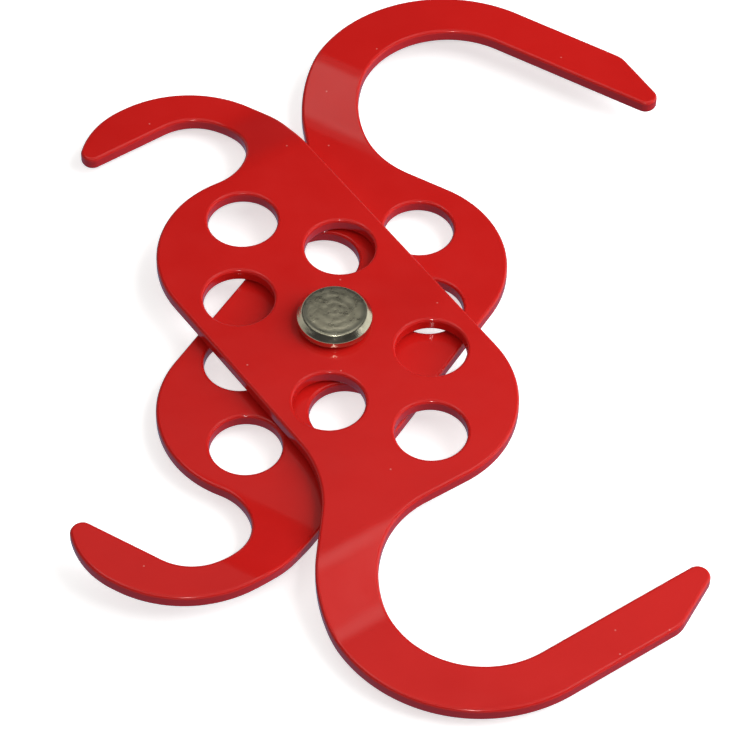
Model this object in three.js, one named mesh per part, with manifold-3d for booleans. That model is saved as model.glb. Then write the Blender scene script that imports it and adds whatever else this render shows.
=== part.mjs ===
// Double-ended lockout hasp: two identical steel stampings, one of them turned over, crossed on one rivet.
// Each stamping has six padlock holes, a small hook at one end and a large hook at the other. Both necks
// step by one plate, so the hooks of the two stampings interlock when the hasp is closed.
// Units are millimetres, +Z is up. The origin is the middle of the rivet tail's flat underside.
import * as THREE from 'three';
import { mergeVertices } from 'three/addons/utils/BufferGeometryUtils.js';
import Module from 'manifold-3d';

const wasm = await Module();
wasm.setup();

// ---- Driving dimensions -------------------------------------------------------------------------

// How far the hasp stands open: the angle between the long axes of the two plates.
const OPEN_ANGLE = THREE.MathUtils.degToRad(114.7);

// Sheet metal.
const PLATE_THICKNESS = 1.8;
const PLATE_GAP = 0.3;           // between the facing sides of the two plates

// Plate body, measured from the rivet. +X runs to the large hook, +Y to the small hook's neck.
const BODY_HALF_WIDTH = 14.5;
const WAIST_HALF_WIDTH = 14.0;   // where the two necks leave the body
const BODY_REACH_LARGE = 28.5;   // the body's end inside the large hook
const BODY_REACH_SMALL = 29.1;   // the body's end inside the small hook
const LOBE_RADIUS = 14.3;

// The step down in each neck, between two bend lines.
const BEND_RADIUS = 11.8;        // inside of each bend
const LARGE_BEND_OFFSET = 0.7;   // first bend line, beyond the body's end
const LARGE_RAMP_LENGTH = 8.7;   // from the first bend line to the second
const SMALL_BEND_OFFSET = -0.8;
const SMALL_RAMP_LENGTH = 8.6;

// Large hook.
const LARGE_EYE_NEAR = 27.9;     // the eye's edge next to the body
const LARGE_EYE_FAR = 52.65;     // the arm's inner edge
const LARGE_EYE_SIDE = 18.9;     // the neck's inner edge, from the long axis
const LARGE_EYE_NEAR_RADIUS = 12.8;
const LARGE_EYE_FAR_RADIUS = 11.9;
const LARGE_RING_WIDTH = 7.1;    // metal round the eye
const LARGE_ARM_WIDTH = 6.15;
const LARGE_OUTER_RADIUS = 18.75;
const NECK_SLOPE = THREE.MathUtils.degToRad(39.8);
const NECK_FILLET = 16.0;
const LARGE_TAPER_START = 8.4;   // where the arm's outer edge turns in
const LARGE_TAPER_RADIUS = 3.7;
const LARGE_TIP_REACH = 15.8;
const LARGE_TIP_WIDTH = 2.4;
const LARGE_TIP_RADIUS = 1.5;

// Small hook.
const SMALL_EYE_NEAR = 27.0;
const SMALL_EYE_FAR = 41.2;
const SMALL_EYE_SIDE = 8.3;
const SMALL_EYE_RADIUS = 7.3;
const SMALL_ARM_WIDTH = 5.8;
const SMALL_OUTER_RADIUS = 15.2;
const SMALL_NOSE_START = 6.3;    // where the arm's outer edge turns in
const SMALL_NOSE_RADIUS = 11.0;
const SMALL_TIP_REACH = 9.95;
const SMALL_TIP_WIDTH = 2.1;
const SMALL_TIP_RADIUS = 1.4;

// Padlock holes: two on the long axis and four beside the rivet.
const HOLE_RADIUS = 4.38;
const END_HOLE_PITCH = 20.5;
const SIDE_HOLE_X = 9.9;
const SIDE_HOLE_Y = 7.5;

// Rivet.
const SHANK_RADIUS = 3.0;
const SHANK_CLEARANCE = 0.15;    // radial, in the plates' pivot holes
const HEAD_CLEARANCE = 0.15;     // between head or tail and the plate beside it
const HEAD_RADIUS = 4.65;
const HEAD_SEAT_RADIUS = 4.15;   // the head's underside, inside its rounded lower edge
const HEAD_TOP_RADIUS = 3.95;
const HEAD_HEIGHT = 2.05;
const HEAD_EDGE_HEIGHT = 0.4;    // of the rounded lower edge
const HEAD_LAND = 0.8;            // upright rim above it
const TAIL_RADIUS = 4.4;
const TAIL_FOOT_RADIUS = 3.6;
const TAIL_HEIGHT = 1.6;
const TAIL_LAND = 0.4;

// Fineness of the faceted curves.
const ARC_STEP = THREE.MathUtils.degToRad(6);
const HOLE_SEGMENTS = 40;
const RIVET_SEGMENTS = 64;

// ---- Heights worked out from the stack -------------------------------------------------------------

const JOGGLE = PLATE_THICKNESS + PLATE_GAP;
const LOWER_PLATE_MIDDLE = TAIL_HEIGHT + HEAD_CLEARANCE + PLATE_THICKNESS / 2;
const UPPER_PLATE_MIDDLE = LOWER_PLATE_MIDDLE + JOGGLE;
const HEAD_SEAT = UPPER_PLATE_MIDDLE + PLATE_THICKNESS / 2 + HEAD_CLEARANCE;

// ---- Materials -------------------------------------------------------------------------------------

const redPaint = new THREE.MeshStandardMaterial({ color: 0xc81e1c, roughness: 0.3, metalness: 0 });
const platedSteel = new THREE.MeshStandardMaterial({ color: 0x8f8c80, roughness: 0.35, metalness: 1 });

// ---- Helpers ---------------------------------------------------------------------------------------

// The points of a closed outline given as corners [x, y, radius]. Each corner is rounded with an arc,
// and two arcs that meet on an edge too short for both are made smaller until they fit it.
function roundedOutline(corners) {
  const count = corners.length;
  const at = (i) => corners[(i + count) % count];
  const point = (i) => new THREE.Vector2(at(i)[0], at(i)[1]);
  const heading = (i) => point(i + 1).sub(point(i)).normalize();
  const turns = corners.map((corner, i) => {
    const before = heading(i - 1);
    const after = heading(i);
    return Math.atan2(before.cross(after), before.dot(after));
  });
  const reaches = corners.map((corner, i) => corner[2] * Math.tan(Math.abs(turns[i]) / 2));
  const shares = corners.map(() => 1);
  for (let i = 0; i < count; i++) {
    const next = (i + 1) % count;
    const edge = point(i).distanceTo(point(next));
    const share = Math.min(1, (0.998 * edge) / (reaches[i] + reaches[next]));
    shares[i] = Math.min(shares[i], share);
    shares[next] = Math.min(shares[next], share);
  }
  const points = [];
  for (let i = 0; i < count; i++) {
    const radius = corners[i][2] * shares[i];
    if (radius === 0) {
      points.push(point(i));
      continue;
    }
    const before = heading(i - 1);
    const side = Math.sign(turns[i]);
    const toCentre = new THREE.Vector2(-before.y, before.x).multiplyScalar(side * radius);
    const start = point(i).addScaledVector(before, -reaches[i] * shares[i]);
    const centre = start.clone().add(toCentre);
    const steps = Math.ceil(Math.abs(turns[i]) / ARC_STEP);
    for (let k = 0; k <= steps; k++) {
      points.push(start.clone().rotateAround(centre, (turns[i] * k) / steps));
    }
  }
  return points;
}

function toSolid(geometry) {
  const bare = geometry.index ? geometry.toNonIndexed() : geometry.clone();
  bare.deleteAttribute('normal');
  bare.deleteAttribute('uv');
  const merged = mergeVertices(bare, 1e-5);
  return new wasm.Manifold(new wasm.Mesh({
    numProp: 3,
    vertProperties: new Float32Array(merged.attributes.position.array),
    triVerts: new Uint32Array(merged.index.array),
  }));
}

function toGeometry(solid) {
  const mesh = solid.getMesh();
  const geometry = new THREE.BufferGeometry();
  geometry.setAttribute('position', new THREE.BufferAttribute(mesh.vertProperties, 3));
  geometry.setIndex(new THREE.BufferAttribute(mesh.triVerts, 1));
  geometry.computeVertexNormals();
  return geometry;
}

// ---- The stamping ----------------------------------------------------------------------------------

// The plate's edge, anticlockwise from the waist at the foot of the large hook's neck.
function plateCorners() {
  const outerSide = -LARGE_EYE_SIDE - LARGE_RING_WIDTH;
  const outerEnd = LARGE_EYE_FAR + LARGE_ARM_WIDTH;
  const noseEnd = -SMALL_EYE_FAR - SMALL_ARM_WIDTH;

  // The neck's sloping edge is tangent to the large hook's outer arc.
  const touchX = outerEnd - LARGE_OUTER_RADIUS * (1 + Math.sin(NECK_SLOPE));
  const touchY = outerSide + LARGE_OUTER_RADIUS * (1 - Math.cos(NECK_SLOPE));
  const slopeXAt = (y) => touchX + (touchY - y) / Math.tan(NECK_SLOPE);

  return [
    [slopeXAt(-WAIST_HALF_WIDTH), -WAIST_HALF_WIDTH, NECK_FILLET],
    [slopeXAt(outerSide), outerSide, LARGE_OUTER_RADIUS],
    [outerEnd, outerSide, LARGE_OUTER_RADIUS],
    [outerEnd, LARGE_TAPER_START, LARGE_TAPER_RADIUS],
    [LARGE_EYE_FAR + LARGE_TIP_WIDTH, LARGE_TIP_REACH, LARGE_TIP_RADIUS],
    [LARGE_EYE_FAR, LARGE_TIP_REACH, LARGE_TIP_RADIUS],
    [LARGE_EYE_FAR, -LARGE_EYE_SIDE, LARGE_EYE_FAR_RADIUS],
    [LARGE_EYE_NEAR, -LARGE_EYE_SIDE, LARGE_EYE_NEAR_RADIUS],
    [BODY_REACH_LARGE, BODY_HALF_WIDTH, LOBE_RADIUS],
    [noseEnd, WAIST_HALF_WIDTH, SMALL_OUTER_RADIUS],
    [noseEnd, -SMALL_NOSE_START, SMALL_NOSE_RADIUS],
    [-SMALL_EYE_FAR - SMALL_TIP_WIDTH, -SMALL_TIP_REACH, SMALL_TIP_RADIUS],
    [-SMALL_EYE_FAR, -SMALL_TIP_REACH, SMALL_TIP_RADIUS],
    [-SMALL_EYE_FAR, SMALL_EYE_SIDE, SMALL_EYE_RADIUS],
    [-SMALL_EYE_NEAR, SMALL_EYE_SIDE, SMALL_EYE_RADIUS],
    [-BODY_REACH_SMALL, -BODY_HALF_WIDTH, LOBE_RADIUS],
  ];
}

function roundHole(x, y, radius) {
  const hole = new THREE.Path();
  hole.absarc(x, y, radius, 0, 2 * Math.PI, true);
  return hole;
}

// The blank: the stamped outline and its holes, much thicker than the sheet.
function blankSolid() {
  const outline = new THREE.Shape(roundedOutline(plateCorners()));
  outline.holes.push(roundHole(0, 0, SHANK_RADIUS + SHANK_CLEARANCE));
  for (const x of [-END_HOLE_PITCH, END_HOLE_PITCH]) {
    outline.holes.push(roundHole(x, 0, HOLE_RADIUS));
  }
  for (const x of [-SIDE_HOLE_X, SIDE_HOLE_X]) {
    for (const y of [-SIDE_HOLE_Y, SIDE_HOLE_Y]) {
      outline.holes.push(roundHole(x, y, HOLE_RADIUS));
    }
  }
  const depth = 2 * (JOGGLE + PLATE_THICKNESS);
  const settings = { depth, bevelEnabled: false, curveSegments: HOLE_SEGMENTS };
  return toSolid(new THREE.ExtrudeGeometry(outline, settings).translate(0, 0, -depth / 2));
}

// The bends of one neck in side view, as corners [x, z, radius] from the body outwards, on each face.
function neckBends(bendStart, rampLength) {
  const half = PLATE_THICKNESS / 2;
  const rampEnd = bendStart + rampLength;
  // A bend's corners on the two faces lie on the line that halves the bend.
  const shift = half * Math.tan(Math.atan2(JOGGLE, rampLength) / 2);
  return {
    under: [
      [bendStart - shift, -half, BEND_RADIUS],
      [rampEnd - shift, -JOGGLE - half, BEND_RADIUS + PLATE_THICKNESS],
    ],
    over: [
      [bendStart + shift, half, BEND_RADIUS + PLATE_THICKNESS],
      [rampEnd + shift, -JOGGLE + half, BEND_RADIUS],
    ],
  };
}

// The sheet: a strip whose side view steps down by one joggle in each neck.
function sheetSolid() {
  const end = LARGE_EYE_FAR + LARGE_ARM_WIDTH + SMALL_EYE_FAR + SMALL_ARM_WIDTH;
  const width = 2 * end;
  const half = PLATE_THICKNESS / 2;
  const large = neckBends(BODY_REACH_LARGE + LARGE_BEND_OFFSET, LARGE_RAMP_LENGTH);
  const small = neckBends(BODY_REACH_SMALL + SMALL_BEND_OFFSET, SMALL_RAMP_LENGTH);
  const mirrored = (corners) => corners.map(([x, z, radius]) => [-x, z, radius]);
  const profile = new THREE.Shape(roundedOutline([
    [-end, -JOGGLE - half, 0],
    ...mirrored(small.under).reverse(),
    ...large.under,
    [end, -JOGGLE - half, 0],
    [end, -JOGGLE + half, 0],
    ...large.over.reverse(),
    ...mirrored(small.over),
    [-end, -JOGGLE + half, 0],
  ]));
  const strip = new THREE.ExtrudeGeometry(profile, { depth: width, bevelEnabled: false });
  return toSolid(strip.translate(0, 0, -width / 2).rotateX(Math.PI / 2));
}

const stamping = toGeometry(blankSolid().intersect(sheetSolid()));

// ---- The rivet -------------------------------------------------------------------------------------

// Half section from the tail's underside, up the shank and over the head, turned about the rivet's axis.
function rivetGeometry() {
  const section = [
    [0, 0],
    [TAIL_FOOT_RADIUS, 0],
    [TAIL_RADIUS, TAIL_HEIGHT - TAIL_LAND],
    [TAIL_RADIUS, TAIL_HEIGHT],
    [SHANK_RADIUS, TAIL_HEIGHT],
    [SHANK_RADIUS, HEAD_SEAT],
    [HEAD_SEAT_RADIUS, HEAD_SEAT],
    [HEAD_RADIUS, HEAD_SEAT + HEAD_EDGE_HEIGHT],
    [HEAD_RADIUS, HEAD_SEAT + HEAD_EDGE_HEIGHT + HEAD_LAND],
    [HEAD_TOP_RADIUS, HEAD_SEAT + HEAD_HEIGHT],
    [0, HEAD_SEAT + HEAD_HEIGHT],
  ].map(([radius, height]) => new THREE.Vector2(radius, height));
  return new THREE.LatheGeometry(section, RIVET_SEGMENTS).rotateX(Math.PI / 2);
}

// ---- Assembly --------------------------------------------------------------------------------------

function namedMesh(name, geometry, material) {
  const mesh = new THREE.Mesh(geometry, material);
  mesh.name = name;
  return mesh;
}

const upperPlate = namedMesh('upper_plate', stamping, redPaint);
upperPlate.position.z = UPPER_PLATE_MIDDLE;
upperPlate.rotation.z = -OPEN_ANGLE / 2;

// The same stamping, turned over about its long axis and then swung the other way.
const lowerPlate = namedMesh('lower_plate', stamping, redPaint);
lowerPlate.rotation.x = Math.PI;
const lowerSwing = new THREE.Group();
lowerSwing.add(lowerPlate);
lowerSwing.position.z = LOWER_PLATE_MIDDLE;
lowerSwing.rotation.z = OPEN_ANGLE / 2;

const rivet = namedMesh('rivet', rivetGeometry(), platedSteel);

const hasp = new THREE.Group();
hasp.add(upperPlate, lowerSwing, rivet);

export default hasp;
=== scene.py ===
"""The looks of a double-ended lockout hasp: two red painted stampings crossed on one plated rivet.

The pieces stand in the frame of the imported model: +Z up, the rivet's axis through the origin. Shapes are
worked out in millimetres and brought to metres by MM; cameras, lamps and materials are in metres.
"""
import math

import bmesh
import bpy
from mathutils import Matrix, Vector


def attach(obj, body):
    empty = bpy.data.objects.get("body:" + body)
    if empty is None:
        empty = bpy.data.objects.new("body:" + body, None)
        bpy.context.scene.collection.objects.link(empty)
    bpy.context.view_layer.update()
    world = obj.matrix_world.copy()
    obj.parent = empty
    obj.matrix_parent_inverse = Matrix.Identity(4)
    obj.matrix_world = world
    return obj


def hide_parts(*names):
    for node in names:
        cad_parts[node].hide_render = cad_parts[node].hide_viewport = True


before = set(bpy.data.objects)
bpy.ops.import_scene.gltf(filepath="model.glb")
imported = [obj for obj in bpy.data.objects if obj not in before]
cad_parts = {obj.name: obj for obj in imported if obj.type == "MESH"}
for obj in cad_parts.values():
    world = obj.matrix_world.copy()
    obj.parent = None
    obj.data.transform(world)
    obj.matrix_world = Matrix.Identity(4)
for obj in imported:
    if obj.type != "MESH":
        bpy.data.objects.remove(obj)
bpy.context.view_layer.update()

MM = 0.001

# ---- Driving dimensions, in millimetres, the same as the CAD part's --------------------------------

OPEN_ANGLE = math.radians(114.7)

PLATE_THICKNESS = 1.8
PLATE_GAP = 0.3

BODY_HALF_WIDTH = 14.5
WAIST_HALF_WIDTH = 14.0
BODY_REACH_LARGE = 28.5
BODY_REACH_SMALL = 29.1
LOBE_RADIUS = 14.3

BEND_RADIUS = 11.8
LARGE_BEND_OFFSET = 0.7
LARGE_RAMP_LENGTH = 8.7
SMALL_BEND_OFFSET = -0.8
SMALL_RAMP_LENGTH = 8.6

LARGE_EYE_NEAR = 27.9
LARGE_EYE_FAR = 52.65
LARGE_EYE_SIDE = 18.9
LARGE_EYE_NEAR_RADIUS = 12.8
LARGE_EYE_FAR_RADIUS = 11.9
LARGE_RING_WIDTH = 7.1
LARGE_ARM_WIDTH = 6.15
LARGE_OUTER_RADIUS = 18.75
NECK_SLOPE = math.radians(39.8)
NECK_FILLET = 16.0
LARGE_TAPER_START = 8.4
LARGE_TAPER_RADIUS = 3.7
LARGE_TIP_REACH = 15.8
LARGE_TIP_WIDTH = 2.4
LARGE_TIP_RADIUS = 1.5

SMALL_EYE_NEAR = 27.0
SMALL_EYE_FAR = 41.2
SMALL_EYE_SIDE = 8.3
SMALL_EYE_RADIUS = 7.3
SMALL_ARM_WIDTH = 5.8
SMALL_OUTER_RADIUS = 15.2
SMALL_NOSE_START = 6.3
SMALL_NOSE_RADIUS = 11.0
SMALL_TIP_REACH = 9.95
SMALL_TIP_WIDTH = 2.1
SMALL_TIP_RADIUS = 1.4

HOLE_RADIUS = 4.38
END_HOLE_PITCH = 20.5
SIDE_HOLE_X = 9.9
SIDE_HOLE_Y = 7.5

SHANK_RADIUS = 3.0
SHANK_CLEARANCE = 0.15
HEAD_CLEARANCE = 0.15
HEAD_RADIUS = 4.65
HEAD_SEAT_RADIUS = 4.15
HEAD_TOP_RADIUS = 3.95
HEAD_HEIGHT = 2.05
HEAD_EDGE_HEIGHT = 0.4
HEAD_LAND = 0.8
TAIL_RADIUS = 4.4
TAIL_FOOT_RADIUS = 3.6
TAIL_HEIGHT = 1.6
TAIL_LAND = 0.4

JOGGLE = PLATE_THICKNESS + PLATE_GAP
LOWER_PLATE_MIDDLE = TAIL_HEIGHT + HEAD_CLEARANCE + PLATE_THICKNESS / 2
UPPER_PLATE_MIDDLE = LOWER_PLATE_MIDDLE + JOGGLE
UPPER_FACE = UPPER_PLATE_MIDDLE + PLATE_THICKNESS / 2
HEAD_SEAT = UPPER_FACE + HEAD_CLEARANCE

# ---- Fineness and finish of the visible meshes, in millimetres ---------------------------------------

ARC_STEP = math.radians(2.0)
HOLE_SEGMENTS = 120
EDGE_RADIUS = 0.42          # paint rounds every edge of the sheet
EDGE_STEPS = 8
BEND_LINES = 16             # cuts across each bend
RIVET_SEGMENTS = 160
FILLET_STEPS = 6            # of each rounded corner of the rivet's section
ARC_SHARE = 0.998           # of a short edge that the arcs at its two ends may take up

# The rivet's rounded corners.
TAIL_FILLET = 0.5
TAIL_RIM_FILLET = 0.12
SHANK_FILLET = 0.1
SEAT_FILLET = 0.12
HEAD_RIM_FILLET = 0.3
HEAD_TOP_FILLET = 0.5

# ---- Colours (linear red, green and blue) and finish -------------------------------------------------

PAINT_DARK = (0.515, 0.0088, 0.0070)
PAINT_LIGHT = (0.555, 0.0105, 0.0084)
PAINT_SMOOTH = 0.11         # roughness, least and most
PAINT_DULL = 0.17
PAINT_WAVE = 0.00003        # heights in metres
PAINT_PEEL = 0.000003
DUST = (0.80, 0.42, 0.38)
DUST_STRENGTH = 0.3
SPECK_SPACING = 0.006
SPECK_RADIUS = 0.00011
SPECK_SHARE = 0.22

STEEL_DARK = (0.52, 0.49, 0.36)
STEEL_LIGHT = (0.73, 0.69, 0.52)
STEEL_SMOOTH = 0.22
STEEL_DULL = 0.40
STEEL_WEAR = 0.00005        # heights in metres
TURNING_MARKS = 0.00001
MARK_SHADE = 0.92
# painted shade: a bluish grey that darkens the rivet head's top rim, standing in for the dark reflection of
# its rounded edge
RIM_SHADE = (0.50, 0.52, 0.56)
BEVEL_POLISH = 0.5

WHITE = (1.0, 1.0, 1.0)

FLOOR_REACH = 3.0           # metres, from the middle to each side
FLOOR_GREY = 0.9
FLOOR_GLOW = 0.55           # keeps the shadows pale


# ---- Camera ------------------------------------------------------------------------------------------

CAMERA_PLACE = (-9.135, -283.137, 334.573)      # millimetres
CAMERA_HEADING = math.radians(-2.875)
CAMERA_TILT = math.radians(90 - 50.1055)
CAMERA_ROLL = math.radians(1.2146)
FOCAL_LENGTH = 170.52                           # on a 36 mm wide sensor


def make_camera():
    data = bpy.data.cameras.new("camera")
    data.lens = FOCAL_LENGTH
    data.sensor_width = 36.0
    data.clip_start = 0.01
    data.clip_end = 20.0
    camera = bpy.data.objects.new("camera", data)
    turn = Matrix.Rotation(CAMERA_HEADING, 4, "Z") @ Matrix.Rotation(CAMERA_TILT, 4, "X")
    turn = turn @ Matrix.Rotation(CAMERA_ROLL, 4, "Z")
    camera.matrix_world = Matrix.Translation(Vector(CAMERA_PLACE) * MM) @ turn
    bpy.context.collection.objects.link(camera)
    bpy.context.scene.camera = camera


# ---- Outline helpers -----------------------------------------------------------------------------------

def rounded_outline(corners):
    """Points of a closed outline of corners (x, y, radius), each rounded with an arc of up to that radius."""
    count = len(corners)
    places = [Vector(corner[:2]) for corner in corners]
    headings = [(places[(i + 1) % count] - places[i]).normalized() for i in range(count)]
    turns = []
    for i in range(count):
        before, after = headings[i - 1], headings[i]
        turns.append(math.atan2(before.x * after.y - before.y * after.x, before.dot(after)))
    reaches = [corners[i][2] * math.tan(abs(turns[i]) / 2) for i in range(count)]
    shares = [1.0] * count
    for i in range(count):
        after = (i + 1) % count
        edge = (places[after] - places[i]).length
        share = min(1.0, ARC_SHARE * edge / (reaches[i] + reaches[after]))
        shares[i] = min(shares[i], share)
        shares[after] = min(shares[after], share)
    points = []
    for i in range(count):
        radius = corners[i][2] * shares[i]
        before = headings[i - 1]
        side = math.copysign(1.0, turns[i])
        start = places[i] - before * reaches[i] * shares[i]
        centre = start + Vector((-before.y, before.x)) * side * radius
        steps = max(2, math.ceil(abs(turns[i]) / ARC_STEP))
        for k in range(steps + 1):
            points.append(centre + Matrix.Rotation(turns[i] * k / steps, 2) @ (start - centre))
    return points


def circle(x, y, radius):
    """A hole's edge, clockwise, so that its outward side is the hole's empty middle."""
    angles = [-2 * math.pi * k / HOLE_SEGMENTS for k in range(HOLE_SEGMENTS)]
    return [Vector((x + radius * math.cos(a), y + radius * math.sin(a))) for a in angles]


def plate_outline():
    outer_side = -LARGE_EYE_SIDE - LARGE_RING_WIDTH
    outer_end = LARGE_EYE_FAR + LARGE_ARM_WIDTH
    nose_end = -SMALL_EYE_FAR - SMALL_ARM_WIDTH
    touch_x = outer_end - LARGE_OUTER_RADIUS * (1 + math.sin(NECK_SLOPE))
    touch_y = outer_side + LARGE_OUTER_RADIUS * (1 - math.cos(NECK_SLOPE))

    def slope_x_at(y):
        return touch_x + (touch_y - y) / math.tan(NECK_SLOPE)

    return rounded_outline([
        (slope_x_at(-WAIST_HALF_WIDTH), -WAIST_HALF_WIDTH, NECK_FILLET),
        (slope_x_at(outer_side), outer_side, LARGE_OUTER_RADIUS),
        (outer_end, outer_side, LARGE_OUTER_RADIUS),
        (outer_end, LARGE_TAPER_START, LARGE_TAPER_RADIUS),
        (LARGE_EYE_FAR + LARGE_TIP_WIDTH, LARGE_TIP_REACH, LARGE_TIP_RADIUS),
        (LARGE_EYE_FAR, LARGE_TIP_REACH, LARGE_TIP_RADIUS),
        (LARGE_EYE_FAR, -LARGE_EYE_SIDE, LARGE_EYE_FAR_RADIUS),
        (LARGE_EYE_NEAR, -LARGE_EYE_SIDE, LARGE_EYE_NEAR_RADIUS),
        (BODY_REACH_LARGE, BODY_HALF_WIDTH, LOBE_RADIUS),
        (nose_end, WAIST_HALF_WIDTH, SMALL_OUTER_RADIUS),
        (nose_end, -SMALL_NOSE_START, SMALL_NOSE_RADIUS),
        (-SMALL_EYE_FAR - SMALL_TIP_WIDTH, -SMALL_TIP_REACH, SMALL_TIP_RADIUS),
        (-SMALL_EYE_FAR, -SMALL_TIP_REACH, SMALL_TIP_RADIUS),
        (-SMALL_EYE_FAR, SMALL_EYE_SIDE, SMALL_EYE_RADIUS),
        (-SMALL_EYE_NEAR, SMALL_EYE_SIDE, SMALL_EYE_RADIUS),
        (-BODY_REACH_SMALL, -BODY_HALF_WIDTH, LOBE_RADIUS),
    ])


def plate_holes():
    holes = [circle(0, 0, SHANK_RADIUS + SHANK_CLEARANCE)]
    holes += [circle(x, 0, HOLE_RADIUS) for x in (-END_HOLE_PITCH, END_HOLE_PITCH)]
    for x in (-SIDE_HOLE_X, SIDE_HOLE_X):
        holes += [circle(x, y, HOLE_RADIUS) for y in (-SIDE_HOLE_Y, SIDE_HOLE_Y)]
    return holes


# ---- The stamping ----------------------------------------------------------------------------------------

def edge_profile():
    """The rounded edge of the sheet, from the upper face to the lower: (inset, height, outward, upward)."""
    half = PLATE_THICKNESS / 2
    profile = []
    for face in (1, -1):
        for k in range(EDGE_STEPS + 1):
            angle = math.pi / 2 * (k / EDGE_STEPS if face < 0 else 1 - k / EDGE_STEPS)
            out, up = math.cos(angle), face * math.sin(angle)
            inset = EDGE_RADIUS * (1 - out)
            profile.append((inset, face * (half - EDGE_RADIUS) + EDGE_RADIUS * up, out, up))
    return profile


def outward_normals(loop):
    """Unit normals on the right-hand side of a loop's direction of travel."""
    normals = []
    for i, point in enumerate(loop):
        along = (loop[(i + 1) % len(loop)] - loop[i - 1]).normalized()
        normals.append(Vector((along.y, -along.x)))
    return normals


def neck(x):
    """The first bend line, the ramp's length and the ramp's slope of the neck on this side of the rivet."""
    if x > 0:
        start, length = BODY_REACH_LARGE + LARGE_BEND_OFFSET, LARGE_RAMP_LENGTH
    else:
        start, length = BODY_REACH_SMALL + SMALL_BEND_OFFSET, SMALL_RAMP_LENGTH
    return start, length, math.atan2(JOGGLE, length)


def bend_shape(x):
    """Height and slope of the sheet's middle at a distance x along the plate."""
    start, length, slope = neck(x)
    radius = BEND_RADIUS + PLATE_THICKNESS / 2
    reach = radius * math.tan(slope / 2)
    away = abs(x)
    sign = math.copysign(1.0, x)
    if away <= start - reach:
        return 0.0, 0.0
    if away >= start + length + reach:
        return -JOGGLE, 0.0
    if away < start + reach * math.cos(slope):
        run = away - (start - reach)
        drop = math.sqrt(radius ** 2 - run ** 2)
        return drop - radius, -sign * run / drop
    if away > start + length - reach * math.cos(slope):
        run = start + length + reach - away
        drop = math.sqrt(radius ** 2 - run ** 2)
        return radius - drop - JOGGLE, -sign * run / drop
    return -(away - start) * math.tan(slope), -sign * math.tan(slope)


def bend_cuts():
    """Where the flat faces are cut across, so that they can follow the bends."""
    cuts = []
    for sign in (-1, 1):
        start, length, slope = neck(sign)
        reach = (BEND_RADIUS + PLATE_THICKNESS / 2) * math.tan(slope / 2)
        for middle in (start, start + length):
            cuts += [sign * (middle + reach * (2 * k / BEND_LINES - 1)) for k in range(BEND_LINES + 1)]
    return cuts


def stamping_mesh():
    """One painted plate about its own middle, +X to the large hook, and the exact normal at each vertex."""
    bm = bmesh.new()
    normal_layer = bm.verts.layers.float_vector.new("exact_normal")
    profile = edge_profile()
    face_edges = {1: [], -1: []}
    for loop in [plate_outline()] + plate_holes():
        normals = outward_normals(loop)
        rings = []
        for inset, height, out, up in profile:
            ring = []
            for point, normal in zip(loop, normals):
                flat = point - normal * inset
                vert = bm.verts.new((flat.x, flat.y, height))
                vert[normal_layer] = Vector((normal.x * out, normal.y * out, up))
                ring.append(vert)
            rings.append(ring)
        count = len(loop)
        for above, below in zip(rings, rings[1:]):
            for i in range(count):
                after = (i + 1) % count
                bm.faces.new((above[i], below[i], below[after], above[after]))
        for face, ring in ((1, rings[0]), (-1, rings[-1])):
            for i in range(count):
                face_edges[face].append(bm.edges.get((ring[i], ring[(i + 1) % count])))
    for face, edges in face_edges.items():
        bmesh.ops.triangle_fill(bm, use_beauty=True, use_dissolve=False, edges=edges, normal=(0, 0, face))
    for cut in bend_cuts():
        geometry = bm.verts[:] + bm.edges[:] + bm.faces[:]
        bmesh.ops.bisect_plane(bm, geom=geometry, dist=1e-5, plane_co=(cut, 0, 0), plane_no=(1, 0, 0))
    bmesh.ops.recalc_face_normals(bm, faces=bm.faces[:])
    exact = []
    for vert in bm.verts:
        height, slope = bend_shape(vert.co.x)
        normal = vert[normal_layer].copy()
        vert.co.z = height + vert.co.z * math.sqrt(1 + slope * slope)
        exact.append(Vector((normal.x - slope * normal.z, normal.y, normal.z)).normalized())
        vert.co *= MM
    mesh = bpy.data.meshes.new("stamping")
    bm.verts.index_update()
    bm.to_mesh(mesh)
    bm.free()
    mesh.attributes.remove(mesh.attributes["exact_normal"])
    for polygon in mesh.polygons:
        polygon.use_smooth = True
    return mesh, exact


def make_plate(name, body, place):
    mesh, exact = stamping_mesh()
    mesh.name = name
    mesh.transform(place)
    turn = place.to_3x3()
    mesh.normals_split_custom_set_from_vertices([turn @ normal for normal in exact])
    plate = bpy.data.objects.new(name, mesh)
    bpy.context.collection.objects.link(plate)
    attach(plate, body)
    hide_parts(body + "_plate")
    return plate


# ---- The rivet --------------------------------------------------------------------------------------------

def rounded_section(corners):
    """A rivet's half section: corners (radius, height, fillet) from axis to axis, rounded with short arcs."""
    points = [Vector(corners[0][:2])]
    for before, corner, after in zip(corners, corners[1:], corners[2:]):
        place = Vector(corner[:2])
        inward = (place - Vector(before[:2])).normalized()
        onward = (Vector(after[:2]) - place).normalized()
        turn = math.atan2(inward.x * onward.y - inward.y * onward.x, inward.dot(onward))
        fillet = corner[2]
        if fillet == 0:
            points.append(place)
            continue
        start = place - inward * fillet * math.tan(abs(turn) / 2)
        centre = start + Vector((-inward.y, inward.x)) * math.copysign(fillet, turn)
        for k in range(FILLET_STEPS + 1):
            points.append(centre + Matrix.Rotation(turn * k / FILLET_STEPS, 2) @ (start - centre))
    points.append(Vector(corners[-1][:2]))
    return points


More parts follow.
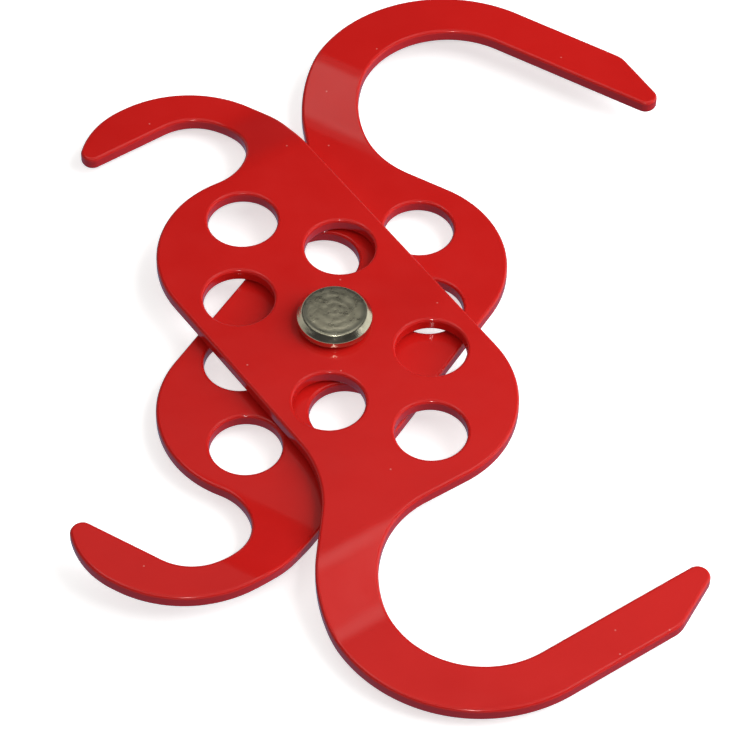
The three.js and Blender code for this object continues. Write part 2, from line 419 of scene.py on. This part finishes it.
def make_rivet():
    top = HEAD_SEAT + HEAD_HEIGHT
    section = rounded_section([
        (0, 0, 0),
        (TAIL_FOOT_RADIUS, 0, TAIL_FILLET),
        (TAIL_RADIUS, TAIL_HEIGHT - TAIL_LAND, TAIL_FILLET),
        (TAIL_RADIUS, TAIL_HEIGHT, TAIL_RIM_FILLET),
        (SHANK_RADIUS, TAIL_HEIGHT, SHANK_FILLET),
        (SHANK_RADIUS, HEAD_SEAT, SHANK_FILLET),
        (HEAD_SEAT_RADIUS, HEAD_SEAT, SEAT_FILLET),
        (HEAD_RADIUS, HEAD_SEAT + HEAD_EDGE_HEIGHT, HEAD_RIM_FILLET),
        (HEAD_RADIUS, HEAD_SEAT + HEAD_EDGE_HEIGHT + HEAD_LAND, HEAD_RIM_FILLET),
        (HEAD_TOP_RADIUS, top, HEAD_TOP_FILLET),
        (0, top, 0),
    ])
    bm = bmesh.new()
    rings = []
    for point in section[1:-1]:
        ring = []
        for k in range(RIVET_SEGMENTS):
            angle = 2 * math.pi * k / RIVET_SEGMENTS
            ring.append(bm.verts.new((point.x * math.cos(angle), point.x * math.sin(angle), point.y)))
        rings.append(ring)
    foot = bm.verts.new((0, 0, section[0].y))
    crown = bm.verts.new((0, 0, section[-1].y))
    for k in range(RIVET_SEGMENTS):
        after = (k + 1) % RIVET_SEGMENTS
        bm.faces.new((foot, rings[0][after], rings[0][k]))
        bm.faces.new((crown, rings[-1][k], rings[-1][after]))
        for below, above in zip(rings, rings[1:]):
            bm.faces.new((below[k], below[after], above[after], above[k]))
    for vert in bm.verts:
        vert.co *= MM
    mesh = bpy.data.meshes.new("rivet_detail")
    bm.to_mesh(mesh)
    bm.free()
    for polygon in mesh.polygons:
        polygon.use_smooth = True
    rivet = bpy.data.objects.new("rivet_detail", mesh)
    bpy.context.collection.objects.link(rivet)
    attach(rivet, "lower")
    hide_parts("rivet")
    return rivet


# ---- Materials -------------------------------------------------------------------------------------------

def new_material(name):
    material = bpy.data.materials.new(name)
    material.use_nodes = True
    tree = material.node_tree
    shader = tree.nodes["Principled BSDF"]
    coords = tree.nodes.new("ShaderNodeTexCoord")
    return material, tree, shader, coords.outputs["Object"]


def noise(tree, coords, scale, detail, roughness=0.5):
    node = tree.nodes.new("ShaderNodeTexNoise")
    node.inputs["Scale"].default_value = scale
    node.inputs["Detail"].default_value = detail
    node.inputs["Roughness"].default_value = roughness
    tree.links.new(coords, node.inputs["Vector"])
    return node.outputs["Fac"]


def ramp(tree, value, stops):
    node = tree.nodes.new("ShaderNodeValToRGB")
    elements = node.color_ramp.elements
    while len(elements) < len(stops):
        elements.new(0.5)
    for element, (place, colour) in zip(elements, stops):
        element.position = place
        element.color = (*colour, 1.0)
    tree.links.new(value, node.inputs["Fac"])
    return node.outputs["Color"]


def bump(tree, height, distance, before=None):
    node = tree.nodes.new("ShaderNodeBump")
    node.inputs["Strength"].default_value = 1.0
    node.inputs["Distance"].default_value = distance
    tree.links.new(height, node.inputs["Height"])
    if before is not None:
        tree.links.new(before, node.inputs["Normal"])
    return node.outputs["Normal"]


def blend(tree, mode, amount, one, other):
    """Blend one colour with the other. The amount and the other colour are a value or a node's output."""
    node = tree.nodes.new("ShaderNodeMix")
    node.data_type = "RGBA"
    node.blend_type = mode
    sockets = {socket.identifier: socket for socket in node.inputs}
    if isinstance(amount, float):
        sockets["Factor_Float"].default_value = amount
    else:
        tree.links.new(amount, sockets["Factor_Float"])
    tree.links.new(one, sockets["A_Color"])
    if isinstance(other, tuple):
        sockets["B_Color"].default_value = (*other, 1.0)
    else:
        tree.links.new(other, sockets["B_Color"])
    results = {socket.identifier: socket for socket in node.outputs}
    return results["Result_Color"]


def arithmetic(tree, operation, value, number):
    node = tree.nodes.new("ShaderNodeMath")
    node.operation = operation
    tree.links.new(value, node.inputs[0])
    if isinstance(number, float):
        node.inputs[1].default_value = number
    else:
        tree.links.new(number, node.inputs[1])
    return node.outputs["Value"]


def specks(tree, coords, spacing, radius, share):
    """1 inside round specks on the flat faces, one in the given share of the cells of a loose grid."""
    cells = tree.nodes.new("ShaderNodeTexVoronoi")
    cells.voronoi_dimensions = "2D"
    cells.inputs["Scale"].default_value = 1 / spacing
    tree.links.new(coords, cells.inputs["Vector"])
    split = tree.nodes.new("ShaderNodeSeparateColor")
    tree.links.new(cells.outputs["Color"], split.inputs["Color"])
    facing = tree.nodes.new("ShaderNodeSeparateXYZ")
    tree.links.new(tree.nodes["Texture Coordinate"].outputs["Normal"], facing.inputs["Vector"])
    upright = arithmetic(tree, "POWER", facing.outputs["Z"], 2.0)
    level = arithmetic(tree, "GREATER_THAN", upright, 0.5)
    near = arithmetic(tree, "LESS_THAN", cells.outputs["Distance"], radius / spacing)
    near = arithmetic(tree, "MULTIPLY", near, level)
    chosen = arithmetic(tree, "LESS_THAN", split.outputs["Red"], share)
    return arithmetic(tree, "MULTIPLY", near, chosen)


def red_paint():
    material, tree, shader, coords = new_material("red_paint")
    shade = noise(tree, coords, 60.0, detail=3.0)
    colour = ramp(tree, shade, [(0.35, PAINT_DARK), (0.65, PAINT_LIGHT)])
    dust = specks(tree, coords, SPECK_SPACING, SPECK_RADIUS, SPECK_SHARE)
    dusty = arithmetic(tree, "MULTIPLY", dust, DUST_STRENGTH)
    colour = blend(tree, "MIX", dusty, colour, DUST)
    tree.links.new(colour, shader.inputs["Base Color"])
    patches = noise(tree, coords, 240.0, detail=4.0)
    gloss = ramp(tree, patches, [(0.3, (PAINT_SMOOTH,) * 3), (0.7, (PAINT_DULL,) * 3)])
    tree.links.new(gloss, shader.inputs["Roughness"])
    shader.inputs["Specular IOR Level"].default_value = 0.5
    wave = bump(tree, noise(tree, coords, 180.0, detail=1.0), PAINT_WAVE)
    peel = bump(tree, noise(tree, coords, 1100.0, detail=2.0), PAINT_PEEL, before=wave)
    tree.links.new(peel, shader.inputs["Normal"])
    return material


def plated_steel():
    material, tree, shader, coords = new_material("plated_steel")
    shader.inputs["Metallic"].default_value = 1.0
    tone = noise(tree, coords, 450.0, detail=6.0, roughness=0.65)
    colour = ramp(tree, tone, [(0.3, STEEL_DARK), (0.7, STEEL_LIGHT)])
    turned = tree.nodes.new("ShaderNodeTexWave")
    turned.wave_type = "RINGS"
    turned.rings_direction = "Z"
    turned.inputs["Scale"].default_value = 290.0
    turned.inputs["Distortion"].default_value = 2.6
    turned.inputs["Detail"].default_value = 2.0
    turned.inputs["Detail Scale"].default_value = 2.0
    tree.links.new(coords, turned.inputs["Vector"])
    rings = ramp(tree, turned.outputs["Fac"], [(0.0, (MARK_SHADE,) * 3), (0.8, WHITE)])
    colour = blend(tree, "MULTIPLY", 1.0, colour, rings)
    level = tree.nodes.new("ShaderNodeVectorMath")
    level.operation = "MULTIPLY"
    level.inputs[1].default_value = (1.0, 1.0, 0.0)
    tree.links.new(coords, level.inputs[0])
    radius = tree.nodes.new("ShaderNodeVectorMath")
    radius.operation = "LENGTH"
    tree.links.new(level.outputs["Vector"], radius.inputs[0])
    out = arithmetic(tree, "DIVIDE", radius.outputs["Value"], HEAD_RADIUS * MM)
    # Painted shade: a grey ring darkens the head's top rim and the outer top face, in place of the dark
    # reflection that the rounded rim would show.
    rim_shade = ramp(tree, out, [(0.68, WHITE), (0.79, RIM_SHADE), (0.86, WHITE)])
    colour = blend(tree, "MULTIPLY", 1.0, colour, rim_shade)
    tree.links.new(colour, shader.inputs["Base Color"])
    patches = noise(tree, coords, 900.0, detail=5.0)
    gloss = ramp(tree, patches, [(0.3, (STEEL_SMOOTH,) * 3), (0.7, (STEEL_DULL,) * 3)])
    smoother = ramp(tree, out, [(0.84, WHITE), (0.88, (BEVEL_POLISH,) * 3)])
    tree.links.new(blend(tree, "MULTIPLY", 1.0, gloss, smoother), shader.inputs["Roughness"])
    worn = bump(tree, noise(tree, coords, 700.0, detail=5.0, roughness=0.6), STEEL_WEAR)
    worn = bump(tree, turned.outputs["Fac"], TURNING_MARKS, before=worn)
    tree.links.new(worn, shader.inputs["Normal"])
    return material


# ---- Stage and light --------------------------------------------------------------------------------------

def make_floor():
    bm = bmesh.new()
    bmesh.ops.create_grid(bm, x_segments=1, y_segments=1, size=FLOOR_REACH)
    mesh = bpy.data.meshes.new("floor")
    bm.to_mesh(mesh)
    bm.free()
    floor = bpy.data.objects.new("floor", mesh)
    bpy.context.collection.objects.link(floor)
    material, _, shader, _ = new_material("floor")
    shader.inputs["Base Color"].default_value = (FLOOR_GREY, FLOOR_GREY, FLOOR_GREY, 1.0)
    shader.inputs["Roughness"].default_value = 0.9
    shader.inputs["Specular IOR Level"].default_value = 0.0
    shader.inputs["Emission Color"].default_value = (*WHITE, 1.0)
    shader.inputs["Emission Strength"].default_value = FLOOR_GLOW
    mesh.materials.append(material)
    floor.visible_diffuse = False       # the studio's own grey lights the sides, not the white floor
    floor.visible_glossy = False


# The studio round the object: how bright it is at each height, from straight down (-1) to straight up (1).
STUDIO = [
    (-1.00, (0.20, 0.24, 0.36)),
    (-0.26, (0.24, 0.27, 0.38)),
    (-0.18, (0.56, 0.56, 0.55)),
    (0.18, (0.46, 0.46, 0.45)),
    (0.30, (0.07, 0.07, 0.08)),
    (0.745, (0.05, 0.05, 0.05)),
    (0.768, (0.12, 0.12, 0.12)),
    (0.776, (0.37, 0.37, 0.36)),
    (0.84, (0.30, 0.30, 0.29)),
    (0.885, (1.32, 1.30, 1.24)),
    (0.917, (1.32, 1.30, 1.24)),
    (0.946, (0.30, 0.30, 0.29)),
    (1.00, (0.24, 0.24, 0.23)),
]


def make_world():
    world = bpy.data.worlds.new("studio")
    world.use_nodes = True
    bpy.context.scene.world = world
    tree = world.node_tree
    coords = tree.nodes.new("ShaderNodeTexCoord")
    split = tree.nodes.new("ShaderNodeSeparateXYZ")
    tree.links.new(coords.outputs["Generated"], split.inputs["Vector"])
    share = tree.nodes.new("ShaderNodeMapRange")
    share.inputs["From Min"].default_value = -1.0
    tree.links.new(split.outputs["Z"], share.inputs["Value"])
    stops = [((height + 1) / 2, colour) for height, colour in STUDIO]
    colour = ramp(tree, share.outputs["Result"], stops)
    tree.links.new(colour, tree.nodes["Background"].inputs["Color"])


def lamp(name, azimuth, elevation, distance, size, light, mirrored=True):
    """An area light aimed at the origin; light is the irradiance, near enough, on a surface there that faces
    it. An unmirrored lamp lights the object but is not seen in its reflections."""
    across = math.cos(math.radians(elevation))
    place = Vector((
        math.cos(math.radians(azimuth)) * across,
        math.sin(math.radians(azimuth)) * across,
        math.sin(math.radians(elevation)),
    )) * distance
    data = bpy.data.lights.new(name, "AREA")
    data.shape = "SQUARE"
    data.size = size
    data.energy = light * math.pi * distance ** 2
    light_object = bpy.data.objects.new(name, data)
    turn = place.to_track_quat("Z", "Y").to_matrix().to_4x4()
    light_object.matrix_world = Matrix.Translation(place) @ turn
    light_object.visible_glossy = mirrored
    bpy.context.collection.objects.link(light_object)


def make_lights():
    lamp("side_softbox", azimuth=-8, elevation=44, distance=0.45, size=0.42, light=3.55, mirrored=False)
    lamp("side_card", azimuth=-14, elevation=22, distance=0.6, size=0.16, light=0.05)
    lamp("back_card", azimuth=16, elevation=4, distance=0.8, size=0.8, light=0.6)
    lamp("camera_lamp", azimuth=-92, elevation=50, distance=1.0, size=0.04, light=0.45)


# ---- Putting it together --------------------------------------------------------------------------------

bpy.context.scene.view_settings.view_transform = "Standard"
make_camera()
make_floor()
make_world()
make_lights()

paint = red_paint()
steel = plated_steel()

upper_place = Matrix.Translation((0, 0, UPPER_PLATE_MIDDLE * MM)) @ Matrix.Rotation(-OPEN_ANGLE / 2, 4, "Z")
turned_over = Matrix.Rotation(math.pi, 4, "X")
lower_place = Matrix.Translation((0, 0, LOWER_PLATE_MIDDLE * MM)) @ Matrix.Rotation(OPEN_ANGLE / 2, 4, "Z")
make_plate("upper_plate_painted", "upper", upper_place).data.materials.append(paint)
make_plate("lower_plate_painted", "lower", lower_place @ turned_over).data.materials.append(paint)
make_rivet().data.materials.append(steel)
